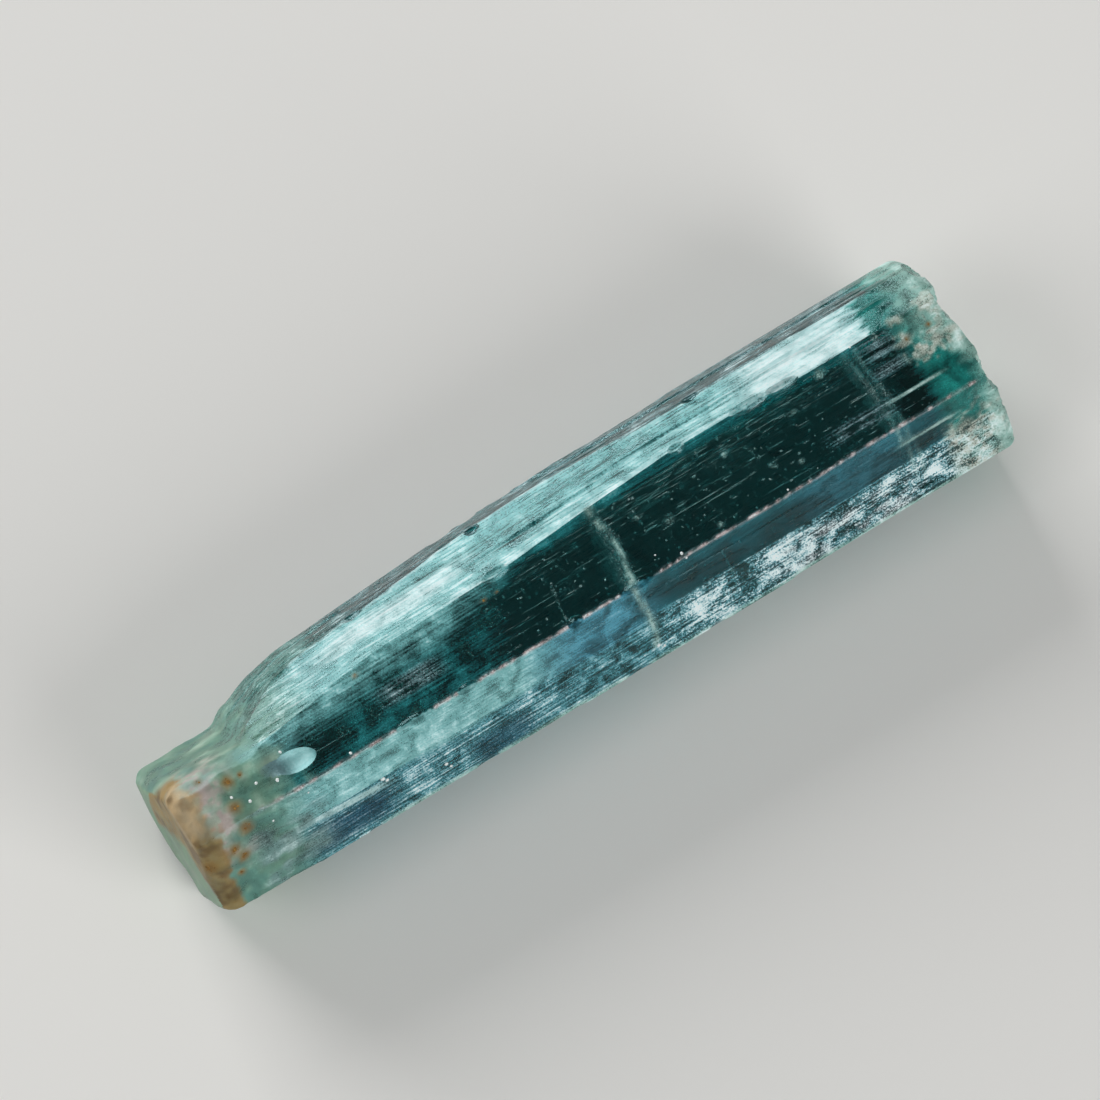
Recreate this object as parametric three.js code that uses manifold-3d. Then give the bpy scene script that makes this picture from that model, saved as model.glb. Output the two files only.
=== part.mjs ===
// A vanadium beryl crystal: one long hexagonal prism that lies on a prism face.
//
// Millimetres, +Z up. The crystal's long (c) axis runs along X, with the frosted, iron-stained end at -X and
// the broken end at +X. The prism is the common part of one relief block for each face: a deep block whose
// outer side carries that face's growth ridges, steps and unevenness, so that the edges come out as
// natural meeting lines. Chips and splinters are then scooped out of it.

import * as THREE from "three";
import { mergeVertices } from "three/addons/utils/BufferGeometryUtils.js";
import Module from "manifold-3d";

const wasm = await Module();
wasm.setup();

// Driving dimensions.
const LENGTH = 26;
const HALF_LENGTH = LENGTH / 2;
const AXIS_HEIGHT = 2.45; // c-axis above the face that the crystal lies on
const TOP_DISTANCE = 2.5; // c-axis to the tops of the ridges on the upper face
const STAINED_END_RADIUS = 0.65; // worn rounding round the stained end
const BROKEN_END_RADIUS = 0.4; // blunt rounding round the broken end
const KNOB_END = -10.1; // where the narrow stained knob meets the shoulder of the prism

// Relief blocks.
const BLOCK_REACH = 5; // half width of a block, and how far it goes in past the c-axis
const BLOCK_OVERHANG = 0.6; // how far a block goes past each end of the crystal
const ROW = 0.23; // spacing of the relief across a face
const COLUMN_IN_MIDDLE = 0.9; // spacing along the c-axis
const COLUMN_IN_KNOB = 0.38;
const KNOB_ZONE = 5.2; // how far from the stained end the close spacing goes
const ROUNDING_STEPS = 5; // columns in the rounding of each end
const END_CELL = 0.27; // spacing on the two end faces
const RIDGE_EDGE = 0.14; // width of the slope at a ridge's edge
const LARGEST_MOVE = 0.008; // how far thinning out needless corners may move the surface

// How far a face stands back from its flat place, as [x, depth] corners along the crystal.
const STRAIGHT = [[0, 0]];
const FAR_UPPER_TAPER = [
  [KNOB_END - 0.1, 1.52],
  [KNOB_END + 0.1, 1.29],
  [-8.8, 0.78],
  [-7.8, 0.54],
  [-6.1, 0.4],
  [-3.6, 0.25],
  [-0.6, 0.04],
  [1.2, 0],
];
const FAR_LOWER_TAPER = [
  [KNOB_END, 0.24],
  [-6.1, 0.1],
  [-0.6, 0],
];
const BEVEL_TAPER = [
  [KNOB_END - 0.1, 0.62],
  [KNOB_END + 0.1, 0.55],
  [-8.6, 0.42],
  [-6, 0.27],
  [-2.2, 0.22],
  [4, 0],
];

// turn: the way a face looks, in degrees from +Y towards +Z. middle and width: where its ridges lie.
const PRISM_FACES = [
  { turn: 90, distance: TOP_DISTANCE, taper: STRAIGHT, middle: 0.3, width: 2.7, ridges: 13, seed: 11 },
  { turn: 60, distance: 2.71, taper: BEVEL_TAPER, middle: 0.1, width: 1.5, ridges: 8, seed: 23 },
  { turn: 30, distance: 2.95, taper: FAR_UPPER_TAPER, middle: -0.3, width: 1.8, ridges: 8, seed: 37 },
  { turn: -30, distance: 2.71, taper: FAR_LOWER_TAPER, middle: 0.3, width: 3.2, ridges: 12, seed: 41 },
  { turn: -150, distance: 2.84, taper: STRAIGHT, middle: 0, width: 2.7, ridges: 11, seed: 59 },
  { turn: 150, distance: 2.75, taper: STRAIGHT, middle: 0, width: 2.9, ridges: 12, seed: 67 },
];
const RESTING_TURN = -90;

// Growth ridges: each size runs from its least value to its greatest.
const RIDGE = { halfWidth: [0.14, 0.44], halfLength: [3, 12], height: [0.035, 0.11] };

// The step that runs the whole length of the near upper face, half way down it.
const LONG_STEP = { turn: 150, place: 0.03, drop: 0.07 };

// Unevenness of a surface: how deep it goes, and its bumps' length and width.
const SWELL = { depth: 0.03, length: 3, width: 0.8 }; // on the prism faces
const LUMPS = { depth: 0.13, length: 0.8, width: 0.7, sunk: 0.04 }; // on the knob
const WEAR = { depth: 0.09, width: 0.9, doming: 0.013, middle: -0.8 }; // on the stained end
const SPLINTERY = { depth: 0.06, width: 0.4 }; // on the broken end
const KNOB_BLEND = [0.6, 0.8]; // how far the knob's lumps fade out past its end, and start before it

// Scars: the oval chip by the stained end, the broken rim, nicks on the edges, bites out of the broken end.
const OVAL_CHIP = { at: [-9.4, -0.95, TOP_DISTANCE - 0.06], lengthwise: [1, 0.12, 0] };
const OVAL_CHIP_SIZE = { length: 1.5, width: 0.75, depth: 0.17 };
const RIM = { from: -2.1, to: 4.8, count: 11, turn: [6, 28] };
const RIM_SIZE = { length: [0.9, 1.8], width: 0.75, depth: [0.14, 0.24] };
const NICK = { from: -8.5, to: 11.5, onEachEdge: 4, sunk: 0.1 };
const NICK_SIZE = { length: [0.35, 1.05], width: 0.4, depth: [0.05, 0.12] };
const BITE = { count: 12, inwards: 0.2, out: [2.6, 2.85], tilt: 0.9 };
const BITE_SIZE = { length: [0.6, 1.3], width: 0.5, depth: [0.07, 0.16] };

// Splinters of the broken end: where each one stands, as [y, z] from the c-axis, and how far back it stops.
const SPLINTERS = [
  { at: [-2.5, 0.4], depth: 0.02 },
  { at: [-2.1, 1.4], depth: 0.12 },
  { at: [-1.75, 2.3], depth: 0.3 },
  { at: [-0.6, 1.9], depth: 0.14 },
  { at: [0.4, 1.7], depth: 0.18 },
  { at: [0.95, 2.4], depth: 0.3 },
  { at: [1.7, 1.9], depth: 0.05 },
  { at: [2.5, 0.9], depth: 0 },
  { at: [0.5, 0.2], depth: 0.36 },
  { at: [-0.9, 0], depth: 0.22 },
  { at: [-1.3, -1.5], depth: 0.08 },
  { at: [1.5, -1.3], depth: 0.26 },
  { at: [0, -2.1], depth: 0.05 },
  { at: [2.5, -0.4], depth: 0.14 },
  { at: [-2.5, -0.8], depth: 0.04 },
];
const SPLINTER_SLOPE = 0.3;

// A repeatable source of numbers between two limits (the minimal standard generator).
function numbers(seed) {
  const largest = 2147483647;
  let state = seed;
  return ([from, to]) => {
    state = (state * 16807) % largest;
    return THREE.MathUtils.lerp(from, to, state / largest);
  };
}

function lattice(i, j) {
  const value = Math.sin(i * 127.1 + j * 311.7) * 43758.5453;
  return value - Math.floor(value);
}

// Smooth unevenness between 0 and 1, with bumps about one unit across.
function unevenness(x, y) {
  const column = Math.floor(x);
  const row = Math.floor(y);
  const across = THREE.MathUtils.smoothstep(x - column, 0, 1);
  const up = THREE.MathUtils.smoothstep(y - row, 0, 1);
  const low = THREE.MathUtils.lerp(lattice(column, row), lattice(column + 1, row), across);
  const high = THREE.MathUtils.lerp(lattice(column, row + 1), lattice(column + 1, row + 1), across);
  return THREE.MathUtils.lerp(low, high, up);
}

// Depth at x along a broken line of [x, depth] corners.
function along(corners, x) {
  const next = corners.findIndex(([place]) => place > x);
  if (next === 0) {
    return corners[0][1];
  }
  if (next < 0) {
    return corners[corners.length - 1][1];
  }
  const [fromX, fromDepth] = corners[next - 1];
  const [toX, toDepth] = corners[next];
  return THREE.MathUtils.mapLinear(x, fromX, toX, fromDepth, toDepth);
}

// Blunting near the two ends, where every face turns inwards in a quarter circle.
function endRounding(x) {
  const radius = x < 0 ? STAINED_END_RADIUS : BROKEN_END_RADIUS;
  const inside = THREE.MathUtils.clamp(radius - (HALF_LENGTH - Math.abs(x)), 0, radius);
  return radius - Math.sqrt(radius ** 2 - inside ** 2);
}

// Growth ridges: long, thin, lens-shaped terraces that run with the c-axis.
function growthRidges(face) {
  const between = numbers(face.seed);
  return Array.from({ length: face.ridges }, () => ({
    place: face.middle + between([-face.width / 2, face.width / 2]),
    halfWidth: between(RIDGE.halfWidth),
    middle: between([-HALF_LENGTH, HALF_LENGTH]),
    halfLength: between(RIDGE.halfLength),
    height: between(RIDGE.height),
  }));
}

function ridgeHeight(ridge, x, place) {
  const share = (x - ridge.middle) / ridge.halfLength;
  if (Math.abs(share) >= 1) {
    return 0;
  }
  const halfWidth = ridge.halfWidth * Math.sqrt(1 - share ** 2);
  const inside = halfWidth - Math.abs(place - ridge.place);
  return ridge.height * THREE.MathUtils.smoothstep(inside, -RIDGE_EDGE / 2, RIDGE_EDGE / 2);
}

// A prism face's depth below its flat place, from its taper, ridges, unevenness and rounded ends.
function prismRelief(face) {
  const ridges = growthRidges(face);
  const tallest = Math.max(...ridges.map((ridge) => ridge.height));
  return (x, place) => {
    const ridge = Math.max(...ridges.map((one) => ridgeHeight(one, x, place)));
    const knob = THREE.MathUtils.smoothstep(KNOB_END - x, -KNOB_BLEND[0], KNOB_BLEND[1]);
    const swell = SWELL.depth * unevenness(x / SWELL.length + face.seed, place / SWELL.width);
    const bumps = LUMPS.depth * unevenness(x / LUMPS.length, place / LUMPS.width + face.seed);
    const lumps = LUMPS.sunk + bumps;
    const step = face.turn === LONG_STEP.turn && place > LONG_STEP.place ? LONG_STEP.drop : 0;
    const grown = tallest - ridge + swell + step;
    return along(face.taper, x) + endRounding(x) + THREE.MathUtils.lerp(grown, lumps, knob);
  };
}

// Places in the rounding of an end, at even turns of its quarter circle, measured from that end inwards.
function roundingPlaces(radius) {
  return Array.from({ length: ROUNDING_STEPS + 1 }, (_, i) => {
    const turn = (i / ROUNDING_STEPS) * (Math.PI / 2);
    return radius * (1 - Math.cos(turn));
  });
}

// Places from one point up to, but not including, another.
function evenSteps(from, to, spacing) {
  const steps = Math.round((to - from) / spacing);
  return Array.from({ length: steps }, (_, i) => THREE.MathUtils.lerp(from, to, i / steps));
}

// Places of the columns along the crystal, closer together where the form changes quickly.
function columnPlaces() {
  const stained = roundingPlaces(STAINED_END_RADIUS).map((inwards) => -HALF_LENGTH + inwards);
  const broken = roundingPlaces(BROKEN_END_RADIUS).map((inwards) => HALF_LENGTH - inwards);
  const knobEnd = -HALF_LENGTH + KNOB_ZONE;
  const knob = evenSteps(stained.at(-1), knobEnd, COLUMN_IN_KNOB);
  const middle = evenSteps(knobEnd, broken.at(-1), COLUMN_IN_MIDDLE);
  return [
    -HALF_LENGTH - BLOCK_OVERHANG,
    ...stained.slice(0, -1),
    ...knob,
    ...middle,
    ...broken.reverse(),
    HALF_LENGTH + BLOCK_OVERHANG,
  ];
}

// A closed block with its outer side at +Y. outer gives that side's height over each (x, z).
function reliefBlock(xPlaces, zPlaces, outer) {
  const columns = xPlaces.length - 1;
  const rows = zPlaces.length - 1;
  const block = new THREE.BoxGeometry(columns, 2, rows, columns, 1, rows);
  const corners = block.getAttribute("position");
  for (let i = 0; i < corners.count; i += 1) {
    const x = xPlaces[Math.round(corners.getX(i) + columns / 2)];
    const z = zPlaces[Math.round(corners.getZ(i) + rows / 2)];
    corners.setXYZ(i, x, corners.getY(i) > 0 ? outer(x, z) : -BLOCK_REACH, z);
  }
  return block;
}

function evenPlaces(halfWidth, spacing) {
  const steps = Math.round((2 * halfWidth) / spacing);
  return Array.from({ length: steps + 1 }, (_, i) => THREE.MathUtils.lerp(-halfWidth, halfWidth, i / steps));
}

function solid(geometry) {
  const bare = geometry.clone();
  bare.deleteAttribute("normal");
  bare.deleteAttribute("uv");
  const merged = mergeVertices(bare, 1e-5);
  const mesh = new wasm.Mesh({
    numProp: 3,
    vertProperties: Float32Array.from(merged.getAttribute("position").array),
    triVerts: Uint32Array.from(merged.getIndex().array),
  });
  return new wasm.Manifold(mesh);
}

// One prism face's block, turned to look its own way.
function faceBlock(face) {
  const relief = prismRelief(face);
  const outer = (x, place) => face.distance - relief(x, place);
  const block = reliefBlock(columnPlaces(), evenPlaces(BLOCK_REACH, ROW), outer);
  return solid(block.rotateX(THREE.MathUtils.degToRad(face.turn)));
}

// The face that the crystal lies on is flat, and only rounds up at the two ends.
function restingBlock() {
  const outer = (x) => AXIS_HEIGHT - endRounding(x);
  const block = reliefBlock(columnPlaces(), [-BLOCK_REACH, BLOCK_REACH], outer);
  return solid(block.rotateX(THREE.MathUtils.degToRad(RESTING_TURN)));
}

// The broken end: splinters of crystal that stop at different depths, with short slopes between them.
function brokenDepth(y, z) {
  const away = ({ at }) => Math.hypot(at[0] - y, at[1] - z);
  const [nearest, second] = [...SPLINTERS].sort((a, b) => away(a) - away(b));
  const lead = (away(second) - away(nearest)) / SPLINTER_SLOPE;
  const share = THREE.MathUtils.clamp(0.5 - lead / 2, 0, 0.5);
  const rough = SPLINTERY.depth * unevenness(y / SPLINTERY.width, z / SPLINTERY.width);
  return THREE.MathUtils.lerp(nearest.depth, second.depth, share) + rough;
}

// The stained end: worn nearly flat, a little domed towards its near side, with shallow lumps.
function wornDepth(y, z) {
  const dome = WEAR.doming * ((y - WEAR.middle) ** 2 + z ** 2);
  return dome + WEAR.depth * unevenness(y / WEAR.width + 7, z / WEAR.width);
}

function endBlock(depth, quarterTurn) {
  const places = evenPlaces(BLOCK_REACH, END_CELL);
  const side = Math.sign(quarterTurn);
  const outer = (across, z) => HALF_LENGTH - depth(side * across, z);
  const block = reliefBlock(places, places, outer);
  const corners = block.getAttribute("position");
  for (let i = 0; i < corners.count; i += 1) {
    if (corners.getY(i) < 0) {
      corners.setY(i, -HALF_LENGTH - BLOCK_REACH);
    }
  }
  return solid(block.rotateZ(quarterTurn));
}

// A shell-shaped scoop: an egg that dips into the surface at a point, by its depth.
function scoop({ at, out, lengthwise, length, width, depth }) {
  const radius = (width ** 2 / 4 + depth ** 2) / (2 * depth);
  const egg = new THREE.IcosahedronGeometry(1, 3);
  egg.scale((radius * length) / width, radius, radius);
  const outward = out.clone().normalize();
  const across = new THREE.Vector3().crossVectors(lengthwise, outward).normalize();
  const tangent = new THREE.Vector3().crossVectors(outward, across);
  const centre = at.clone().addScaledVector(outward, radius - depth);
  const frame = new THREE.Matrix4().makeBasis(tangent, outward, across).setPosition(centre);
  return solid(egg.applyMatrix4(frame));
}

const C_AXIS = new THREE.Vector3(1, 0, 0);

function radial(turn) {
  const angle = THREE.MathUtils.degToRad(turn);
  return new THREE.Vector3(0, Math.cos(angle), Math.sin(angle));
}

// The point at x on the edge where two prism faces meet.
function edgePoint(a, b, x) {
  const [ua, ub] = [radial(a.turn), radial(b.turn)];
  const [da, db] = [a, b].map((face) => face.distance - along(face.taper, x));
  const area = ua.y * ub.z - ua.z * ub.y;
  return new THREE.Vector3(x, (da * ub.z - db * ua.z) / area, (ua.y * db - ub.y * da) / area);
}

const [TOP, BEVEL, FAR_UPPER, FAR_LOWER, NEAR_LOWER, NEAR_UPPER] = PRISM_FACES;
const RESTING = { turn: RESTING_TURN, distance: AXIS_HEIGHT, taper: STRAIGHT };

// The oval conchoidal chip in the upper face, by the stained end.
function ovalChip() {
  const at = new THREE.Vector3(...OVAL_CHIP.at);
  const lengthwise = new THREE.Vector3(...OVAL_CHIP.lengthwise);
  return scoop({ at, out: radial(TOP.turn), lengthwise, ...OVAL_CHIP_SIZE });
}

// The broken rim: overlapping splinter scars along the far edge, in the middle of its length.
function rimScars() {
  const between = numbers(131);
  return Array.from({ length: RIM.count }, (_, i) => {
    const x = THREE.MathUtils.lerp(RIM.from, RIM.to, i / (RIM.count - 1)) + between([-0.15, 0.15]);
    const at = edgePoint(FAR_LOWER, FAR_UPPER, x);
    const length = between(RIM_SIZE.length);
    const lengthwise = new THREE.Vector3(1, 0, between([-0.1, 0.1]));
    const out = radial(between(RIM.turn));
    return scoop({ at, out, lengthwise, length, width: RIM_SIZE.width, depth: between(RIM_SIZE.depth) });
  });
}

// Nicks along the other prism edges.
function edgeNicks() {
  const between = numbers(173);
  const edges = [
    [FAR_UPPER, BEVEL],
    [BEVEL, TOP],
    [TOP, NEAR_UPPER],
    [NEAR_UPPER, NEAR_LOWER],
    [NEAR_LOWER, RESTING],
    [RESTING, FAR_LOWER],
  ];
  return edges.flatMap(([a, b]) =>
    Array.from({ length: NICK.onEachEdge }, () => {
      const x = between([NICK.from, NICK.to]);
      const out = radial(a.turn).add(radial(b.turn)).normalize();
      const at = edgePoint(a, b, x).addScaledVector(out, -NICK.sunk);
      const length = between(NICK_SIZE.length);
      const depth = between(NICK_SIZE.depth);
      return scoop({ at, out, lengthwise: C_AXIS, length, width: NICK_SIZE.width, depth });
    }),
  );
}

// Bites out of the rim of the broken end.
function endBites() {
  const between = numbers(211);
  return Array.from({ length: BITE.count }, (_, i) => {
    const turn = (360 / BITE.count) * (i + between([0, 0.5]));
    const out = radial(turn).addScaledVector(C_AXIS, BITE.tilt);
    const at = radial(turn).multiplyScalar(between(BITE.out)).setX(HALF_LENGTH - BITE.inwards);
    const length = between(BITE_SIZE.length);
    const depth = between(BITE_SIZE.depth);
    return scoop({ at, out, lengthwise: radial(turn + 90), length, width: BITE_SIZE.width, depth });
  });
}

function crystalGeometry() {
  const blocks = PRISM_FACES.map(faceBlock);
  blocks.push(restingBlock());
  blocks.push(endBlock(brokenDepth, -Math.PI / 2));
  blocks.push(endBlock(wornDepth, Math.PI / 2));
  const prism = blocks.reduce((body, block) => body.intersect(block));
  const scars = [ovalChip(), ...rimScars(), ...edgeNicks(), ...endBites()];
  const body = scars.reduce((whole, scar) => whole.subtract(scar), prism);
  const mesh = body.simplify(LARGEST_MOVE).getMesh();
  const geometry = new THREE.BufferGeometry();
  geometry.setAttribute("position", new THREE.BufferAttribute(mesh.vertProperties, 3));
  geometry.setIndex(new THREE.BufferAttribute(mesh.triVerts, 1));
  geometry.computeBoundingBox();
  const box = geometry.boundingBox;
  geometry.translate(-(box.min.x + box.max.x) / 2, -(box.min.y + box.max.y) / 2, -box.min.z);
  geometry.computeVertexNormals();
  return geometry;
}

// Clear teal beryl, frosted and iron-stained at one end.
const beryl = new THREE.MeshStandardMaterial({
  name: "beryl",
  color: 0x4f9a9c,
  roughness: 0.18,
  metalness: 0,
  transparent: true,
  opacity: 0.6,
});

const crystal = new THREE.Mesh(crystalGeometry(), beryl);
crystal.name = "beryl_crystal";

const specimen = new THREE.Group();
specimen.add(crystal);

export default specimen;
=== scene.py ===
# A vanadium beryl crystal: one clear teal hexagonal prism lying on a prism face, with a frosted,
# iron-stained end, a rough broken end, and healed fractures, growth tubes and specks inside it.
# Sizes are in millimetres in the crystal's own frame (the c-axis is X) until a mesh is finished.

import itertools
import math

import bmesh
import bpy
import numpy as np
from mathutils import Matrix, Vector, bvhtree, kdtree


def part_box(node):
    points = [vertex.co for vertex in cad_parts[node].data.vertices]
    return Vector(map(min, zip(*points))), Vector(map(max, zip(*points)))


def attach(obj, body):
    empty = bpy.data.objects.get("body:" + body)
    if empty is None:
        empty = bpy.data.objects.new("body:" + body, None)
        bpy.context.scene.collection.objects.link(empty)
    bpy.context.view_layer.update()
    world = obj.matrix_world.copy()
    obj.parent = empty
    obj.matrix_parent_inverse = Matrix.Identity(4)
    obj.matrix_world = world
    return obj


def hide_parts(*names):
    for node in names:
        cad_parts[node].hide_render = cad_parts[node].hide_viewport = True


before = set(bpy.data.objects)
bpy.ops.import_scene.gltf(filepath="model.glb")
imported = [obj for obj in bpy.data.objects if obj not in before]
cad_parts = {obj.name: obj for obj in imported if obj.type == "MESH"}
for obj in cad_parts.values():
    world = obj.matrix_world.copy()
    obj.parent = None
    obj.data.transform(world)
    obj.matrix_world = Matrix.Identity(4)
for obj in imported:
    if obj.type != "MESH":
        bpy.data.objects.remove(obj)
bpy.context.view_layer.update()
MM = 0.001


# ---- The crystal -----------------------------------------------------
# One prism of beryl. It grew as stacked terraces, so every prism face is flat but carries long low
# ridges and fine striations along the c-axis. It is made as the common part of one deep block for
# each face, each with that face's relief on its outer side, and then the chips are scooped out.

HALF_LENGTH = 13.0
AXIS_HEIGHT = 2.45
TOP_DISTANCE = 2.5
KNOB_END = -10.1
BROKEN_START = 10.6
END_RADIUS = {"stained": 0.65, "broken": 0.4}

# How far a face stands back from its plane, as places along the crystal and depths there.
STRAIGHT = [(0, 0)]
FAR_UPPER_TAPER = [
    (KNOB_END - 0.1, 1.52), (KNOB_END + 0.1, 1.29), (-8.8, 0.78), (-7.8, 0.54),
    (-6.1, 0.4), (-3.6, 0.25), (-0.6, 0.04), (1.2, 0),
]
FAR_LOWER_TAPER = [(KNOB_END, 0.24), (-6.1, 0.1), (-0.6, 0)]
BEVEL_TAPER = [
    (KNOB_END - 0.1, 0.62), (KNOB_END + 0.1, 0.55), (-8.6, 0.42), (-6, 0.27), (-2.2, 0.22), (4, 0),
]

# turn: the way a face looks, in degrees from +Y towards +Z. distance: its plane's, from the axis.
# middle, width: where its ridges lie. rise: how much of the full ridge height it has.
FACE_COLUMNS = ("turn", "distance", "taper", "middle", "width", "ridges", "seed", "rise")
PRISM_FACES = {
    "top": (90, TOP_DISTANCE, STRAIGHT, 0.3, 2.7, 13, 11, 0.2),
    "bevel": (60, 2.71, BEVEL_TAPER, 0.1, 1.5, 8, 23, 0.6),
    "far_upper": (30, 2.95, FAR_UPPER_TAPER, -0.3, 1.8, 8, 37, 0.7),
    "far_lower": (-30, 2.71, FAR_LOWER_TAPER, 0.3, 3.2, 12, 41, 1),
    "near_lower": (-150, 2.84, STRAIGHT, 0, 2.7, 11, 59, 0.8),
    "near_upper": (150, 2.75, STRAIGHT, 0, 2.9, 12, 67, 0.12),
}
PRISM_FACES = {name: dict(zip(FACE_COLUMNS, row)) for name, row in PRISM_FACES.items()}
RESTING = dict(turn=-90, distance=AXIS_HEIGHT, taper=STRAIGHT)
SURFACES = list(PRISM_FACES) + ["resting", "broken_end", "stained_end", "scar"]

RIDGE_HALF_WIDTH, RIDGE_HALF_LENGTH, RIDGE_HEIGHT = (0.14, 0.44), (3, 12), (0.035, 0.11)
RIDGE_EDGE, RIDGE_WANDER, WANDER_LENGTH = 0.1, 0.015, 2.3
STEP_FACE, STEP_PLACE, STEP_DROP = "near_upper", 0.03, 0.07
KNOB_DEPTH, KNOB_SMOOTHING = 0.04, 14

# Layers of relief: the height of their bumps, and how long and how wide one bump is.
SWELL, STRIAE, FINE_STRIAE = (0.03, 3, 0.8), (0.012, 5, 0.17), (0.009, 2.2, 0.1)
KNOB_LUMPS, KNOB_GRAIN = (0.13, 0.8, 0.7), (0.035, 0.23, 0.21)
BREAK_LUMPS, BREAK_GRAIN = (0.06, 0.4, 0.4), (0.03, 0.13, 0.15)
WORN_LUMPS, WORN_GRAIN = (0.09, 0.9, 0.9), (0.02, 0.25, 0.25)

# The broken end's splinters: y, z and how far each stands back.
SPLINTERS = [
    (-2.5, 0.4, 0.02), (-2.1, 1.4, 0.12), (-1.75, 2.3, 0.3), (-0.6, 1.9, 0.14), (0.4, 1.7, 0.18),
    (0.95, 2.4, 0.3), (1.7, 1.9, 0.05), (2.5, 0.9, 0), (0.5, 0.2, 0.36), (-0.9, 0, 0.22),
    (-1.3, -1.5, 0.08), (1.5, -1.3, 0.26), (0, -2.1, 0.05), (2.5, -0.4, 0.14), (-2.5, -0.8, 0.04),
]
SPLINTER_SLOPE = 0.08

# Each block reaches past the crystal, and has a point of its relief at every row and column.
BLOCK_REACH, OVERHANG = 5.0, 0.6
FACE_HALF, END_HALF = 2.2, 3.4
COLUMN, END_COLUMN = 0.13, 0.075
ROW, RESTING_ROW, END_CELL = 0.05, 1.1, 0.07


def numbers(seed):
    """A repeatable source of numbers between two limits (the minimal standard generator)."""
    largest = 2147483647
    state = [seed]

    def between(low, high):
        state[0] = state[0] * 16807 % largest
        return low + (high - low) * state[0] / largest

    return between


def unevenness(x, y, z=0.0):
    """Smooth bumps between 0 and 1, about one unit across each way."""
    place = np.stack(np.broadcast_arrays(x, y, z)).astype(float)
    cell = np.floor(place)
    share = place - cell
    share = share**2 * (3 - 2 * share)
    total = np.zeros(place.shape[1:])
    for corner in itertools.product((0, 1), repeat=3):
        i, j, k = (cell[axis] + corner[axis] for axis in range(3))
        value = np.sin(i * 127.1 + j * 311.7 + k * 74.7) * 43758.5453
        weight = np.prod([share[a] if corner[a] else 1 - share[a] for a in range(3)], axis=0)
        total += (value - np.floor(value)) * weight
    return total


def layer(x, y, height, length, width, shift=0, aside=0, z=0.0):
    """One layer of unevenness, moved along by a shift and across by an aside, in bumps."""
    return height * unevenness(x / length + shift, y / width + aside, z)


def ramp(value, low, high):
    """Rises smoothly from 0 to 1 as the value goes from low to high."""
    share = np.clip((value - low) / (high - low), 0, 1)
    return share**2 * (3 - 2 * share)


def along(corners, x):
    """The depth at x of a line through corners, each a place and a depth."""
    return np.interp(x, [place for place, _ in corners], [depth for _, depth in corners])


def end_rounding(x):
    """How far a face falls back near the crystal's ends."""
    radius = np.where(x < 0, END_RADIUS["stained"], END_RADIUS["broken"])
    inside = np.clip(radius - (HALF_LENGTH - np.abs(x)), 0, radius)
    return radius - np.sqrt(radius**2 - inside**2)


def prism_relief(name, face):
    """How far a prism face stands back from its plane."""
    seed = face["seed"]
    between = numbers(seed)
    ridges = []
    for _ in range(face["ridges"]):
        place = face["middle"] + between(-face["width"] / 2, face["width"] / 2)
        half_width = between(*RIDGE_HALF_WIDTH)
        middle = between(-HALF_LENGTH, HALF_LENGTH)
        half_length = between(*RIDGE_HALF_LENGTH)
        ridges.append((place, half_width, middle, half_length, between(*RIDGE_HEIGHT) * face["rise"]))
    tallest = max(ridge[-1] for ridge in ridges)

    def relief(x, place):
        height = np.zeros_like(x)
        for centre, half_width, middle, half_length, rise in ridges:
            share = np.clip(1 - ((x - middle) / half_length) ** 2, 0, 1)
            wander = RIDGE_WANDER * np.sin(x / WANDER_LENGTH + 40 * rise)
            inside = half_width * np.sqrt(share) - np.abs(place - centre - wander)
            edge = ramp(inside, -RIDGE_EDGE / 2, RIDGE_EDGE / 2)
            height = np.maximum(height, np.where(share > 0, rise * edge, 0))
        swell = layer(x, place, *SWELL, seed)
        striae = layer(x, place, *STRIAE, seed) + layer(x, place, *FINE_STRIAE, -seed)
        step = np.where((name == STEP_FACE) & (place > STEP_PLACE), STEP_DROP, 0)
        lumps = KNOB_DEPTH + layer(x, place, *KNOB_LUMPS, 0, seed) + layer(x, place, *KNOB_GRAIN, 0, seed)
        knob = ramp(KNOB_END - x, -0.6, 0.8)
        grown = tallest - height + swell + striae + step
        return along(face["taper"], x) + end_rounding(x) + grown * (1 - knob) + lumps * knob

    return relief


def broken_depth(y, z):
    """Splinters, each flat and at its own depth, with a short slope from one to the next."""
    away = np.stack([np.hypot(y - at_y, z - at_z) for at_y, at_z, _ in SPLINTERS])
    order = np.argsort(away, axis=0)[:2]
    gap = np.diff(np.take_along_axis(away, order, axis=0), axis=0)[0]
    depths = np.array([depth for _, _, depth in SPLINTERS])
    nearest, second = depths[order[0]], depths[order[1]]
    share = np.clip(0.5 - gap / SPLINTER_SLOPE / 2, 0, 0.5)
    rough = layer(y, z, *BREAK_LUMPS) + layer(y, z, *BREAK_GRAIN)
    return nearest * (1 - share) + second * share + rough


def worn_depth(y, z):
    """A low dome, highest beside the middle, etched into lumps."""
    dome = 0.013 * ((y + 0.8) ** 2 + z**2)
    return dome + layer(y, z, *WORN_LUMPS, 7) + layer(y, z, *WORN_GRAIN)


def places_along():
    """Columns of the relief along the crystal, closer at both ends, with one past each end."""
    knob = np.arange(-HALF_LENGTH, KNOB_END + 0.6, END_COLUMN)
    shaft = np.arange(knob[-1] + COLUMN, BROKEN_START, COLUMN)
    broken = np.arange(shaft[-1] + END_COLUMN, HALF_LENGTH, END_COLUMN)
    past = HALF_LENGTH + OVERHANG
    return np.concatenate([[-past], knob, shaft, broken, [HALF_LENGTH, past]])


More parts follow.
